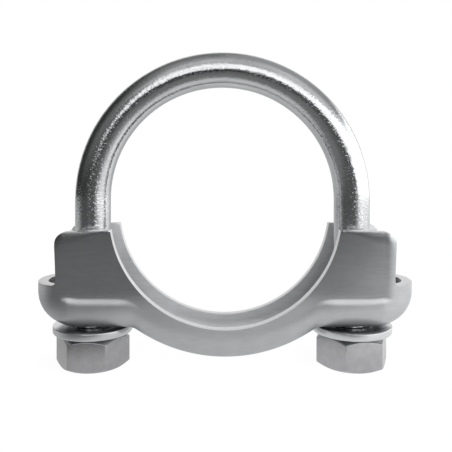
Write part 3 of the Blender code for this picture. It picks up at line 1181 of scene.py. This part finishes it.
    def side_section(self, level: int, x: float) -> tuple[float, float]:
        """Draw the section of the long wall: a quarter ellipse, then crest and crease.

        Args:
            level: row of the net, counted from the foot of the bend.
            x: distance from the middle of the saddle.

        Returns:
            How far the point lies outside the wall's plane and over the underside.
        """
        lean = self.crease(x)
        if level <= self.bend_steps:
            swell = (self.crest_radius + self.crease_radius) * (1 - math.cos(lean))
            angle = -math.pi / 2 * (1 - level / self.bend_steps)
            return (swell - self.bend_reach * (1 - math.cos(angle)),
                    self.bend_rise * (1 + math.sin(angle)))
        share = (level - self.bend_steps) / self.crease_steps
        turn = lean * min(2 * share, 1)
        left = lean * min(2 - 2 * share, 1)
        out = self.crest_radius * (math.cos(turn) - math.cos(lean))
        out += self.crease_radius * (1 - math.cos(left))
        rise = self.bend_rise + self.crest_radius * math.sin(turn)
        rise += self.crease_radius * (math.sin(lean) - math.sin(left))
        missing = math.sin(self.crease_turn) - math.sin(lean)
        missing *= (self.crest_radius + self.crease_radius) * self.straight_share
        return out, rise + missing * share

    def end_section(self, level: int) -> tuple[float, float]:
        """Draw the section of the end wall: a quarter circle.

        Args:
            level: row of the net, counted from the foot of the bend.

        Returns:
            How far the point lies inside the end and over the underside.
        """
        angle = -math.pi / 2 * (1 - min(level, self.bend_steps) / self.bend_steps)
        return self.end_bend * (1 - math.cos(angle)), self.end_bend * (1 + math.sin(angle))

    def end_share(self, distance: float, corner: float) -> float:
        """Return how much of the end wall's section a point takes, by its way from the end."""
        return 1.0 - soft_step(distance / (corner * math.pi / 2 + self.end_ease))

    def wall_point(self, level: int, column: int) -> Vector:
        """Return a point of the skin on its bend or crease.

        Args:
            level: row of the net, counted from the foot of the bend.
            column: column of the net.

        Returns:
            The point.
        """
        inset, end_rise = self.end_section(level)
        length = self.half_length - inset
        end_out = self.side_section(level, length)[0]
        depth = self.wall_spread / 2 + end_out
        corner = depth - self.end_flat / 2
        if column < self.end_steps:
            x, y, end = length, self.end_flat / 2 * column / self.end_steps, 1.0
        elif column <= self.arc_end:
            angle = self.arc_angles[column - self.end_steps]
            x = length - corner + corner * math.cos(angle)
            swollen = corner + self.side_section(level, x)[0] - end_out
            x = length - corner + swollen * math.cos(angle)
            y = depth - corner + swollen * math.sin(angle)
            end = self.end_share(corner * angle, corner)
        else:
            straight = length - corner
            x = straight * self.long_shares[column - self.arc_end - 1]
            y = self.wall_spread / 2 + self.side_section(level, x)[0]
            end = self.end_share(corner * math.pi / 2 + straight - x, corner)
        rise = self.side_section(level, x)[1]
        over_bend = max(rise - self.bend_rise, 0.0)
        rise = (rise - over_bend) * (1 - end) + end_rise * end + over_bend
        return Vector((x, y, self.underside(x) + rise))

    def trimmed_edge(self) -> list[Vector]:
        """Draw the edge of the sheet along a half of the long wall.

        Returns:
            Points of (x, z), from the lip up the tab's side, round its corner, along its top
            and down the pipe's seat to the middle.
        """
        tip_angle = math.asin((self.seat_z - self.tab_z) / self.seat_radius)
        tip = Vector((self.seat_radius * math.cos(tip_angle), self.tab_z))
        outer = Vector((self.tab_half_width,
                        self.tab_z - (self.tab_half_width - tip.x) * math.tan(self.tab_slope)))
        foot = Vector((self.tab_half_width - (outer.y - self.lip_z) * math.tan(self.tab_lean),
                       self.lip_z))
        start = Vector((self.half_length, self.lip_z))
        top = Vector((self.fan_from, self.tab_z - (self.fan_from - tip.x)
                      * math.tan(self.tab_slope)))
        line = rounded_line([start, foot, outer, top], (self.lip_fillet, self.tab_corner),
                            self.round_steps)[1:]
        side = [line[self.round_steps].lerp(line[self.round_steps + 1], i / self.side_steps)
                for i in range(1, self.side_steps)]
        brow = [line[-2].lerp(line[-1], i / self.brow_steps) for i in range(1, self.brow_steps)]
        fan = line[:self.round_steps + 1] + side + line[self.round_steps + 1:-1] + brow
        tops = [top.lerp(tip, i / self.top_steps) for i in range(self.top_steps)]
        sweep = math.pi / 2 - tip_angle
        seat = []
        for i in range(self.seat_steps + 1):
            angle = tip_angle + sweep * i / self.seat_steps
            seat.append(Vector((self.seat_radius * math.cos(angle),
                                self.seat_z - self.seat_radius * math.sin(angle))))
        return fan + tops + seat

    def quarter(self) -> bmesh.types.BMesh:
        """Lay the net of the quarter with x and y above 0, from the floor to the cut edge.

        Returns:
            A bmesh with the quarter's outer face.
        """
        bend_from = self.floor_steps
        wall_from = bend_from + self.top_level

        def place(row: int, column: int) -> Vector:
            """Place a corner of the net on the floor, the bend or the upright wall.

            Args:
                row: its row, from the middle of the floor up.
                column: its column, from the end of the saddle to its middle.

            Returns:
                The point.
            """
            if row < bend_from:
                rim = self.wall_point(0, column)
                x = min(rim.x, self.wall_point(0, self.arc_end).x)
                return Vector((x, 0, self.underside(x))).lerp(rim, row / bend_from)
            if row <= wall_from:
                return self.wall_point(row - bend_from, column)
            return self.upper_point((row - wall_from) / self.wall_steps, column)

        columns = self.arc_end + len(self.long_shares)
        return shaped_net(wall_from + self.wall_steps, columns, place)

    def upper_point(self, share: float, column: int) -> Vector:
        """Return a point of the upright wall.

        From the tabs' corners inward the rows lie closer at the cut edge, so that the shading
        of the edge stays beside it.

        Args:
            share: how far up the point is, from 0 over the crease to 1 at the cut edge.
            column: column of the net.

        Returns:
            The point.
        """
        start = self.wall_point(self.top_level, column)
        if column <= self.lip_end:
            return Vector((start.x, start.y, start.z + (self.lip_z - start.z) * share))
        edge = self.edge[column - self.lip_end]
        packed = soft_step((self.fan_from - edge.x) / self.grading_reach)
        share = 1 - (1 - share) ** (1 + self.grading * packed)
        x = start.x + (edge.x - start.x) * share
        height = start.z + (edge.y - start.z) * share
        past_straight = max(x - self.half_length + self.plan_corner, 0.0)
        y = self.end_flat / 2 + math.sqrt(self.plan_corner ** 2 - past_straight ** 2)
        spread = (height - start.z) * math.tan(self.wall_lean)
        return Vector((x, y + spread * (1 - self.end_at(column)), height))

    def end_at(self, column: int) -> float:
        """Return how much of the end wall's section the upright wall takes.

        Args:
            column: column of the net.

        Returns:
            A share from 0 on the long wall to 1 at the end.
        """
        corner = self.plan_corner
        if column <= self.arc_end:
            return self.end_share(corner * self.arc_angles[column - self.end_steps], corner)
        straight = self.half_length - corner
        x = straight * self.long_shares[column - self.arc_end - 1]
        return self.end_share(corner * math.pi / 2 + straight - x, corner)


def main() -> None:
    """Build the studio and the pieces, and report each one."""
    logging.basicConfig(level=logging.INFO, format="%(name)s: %(message)s")
    bpy.context.scene.view_settings.view_transform = "Standard"
    view = View()
    view.build()
    Studio().build(view)

    surface = ZincSurface()
    rod_zinc = ROD_ZINC.build(surface)
    # The inner face's finish carries painted light and the sheared edges' finish a painted
    # highlight in their colour.
    sheet_zincs = [finish.build(surface) for finish in (SHEET_ZINC, INNER_ZINC_PAINTED_LIGHT, CUT_ZINC_PAINTED_HIGHLIGHT)]
    washer_zinc = WASHER_ZINC.build(surface)
    nut_zinc = NUT_ZINC.build(surface)

    thread = ScrewThread()
    legs = {side: side.leg_x() for side in Side}
    half_spacing = (legs[Side.RIGHT] - legs[Side.LEFT]) / 2
    _, rod_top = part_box("u_bolt")
    bolt = UBolt(legs[Side.LEFT], legs[Side.RIGHT],
                 rod_top.z - half_spacing - UBolt.rod_radius, thread)
    seat_piece(bolt.build(rod_zinc), "u_bolt", "u_bolt")
    _, saddle_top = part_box("saddle")
    saddle = Saddle(saddle_top.z - Saddle.tab_rise, saddle_top.x)
    seat_piece(saddle.build(sheet_zincs, (-half_spacing, half_spacing)),
               "saddle", "saddle")
    for side, leg_x in legs.items():
        washer = Washer(leg_x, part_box(side.label + "_washer")[0].z)
        seat_piece(washer.build(side.label + "_plain_washer", washer_zinc),
                   side.label + "_washer", "saddle")
        nut = HexNut(leg_x, side.nut_turn, thread)
        seat_piece(nut.build(side.label + "_hex_nut", nut_zinc),
                   side.label + "_nut", side.label + "_nut")


if __name__ == "__main__":
    main()
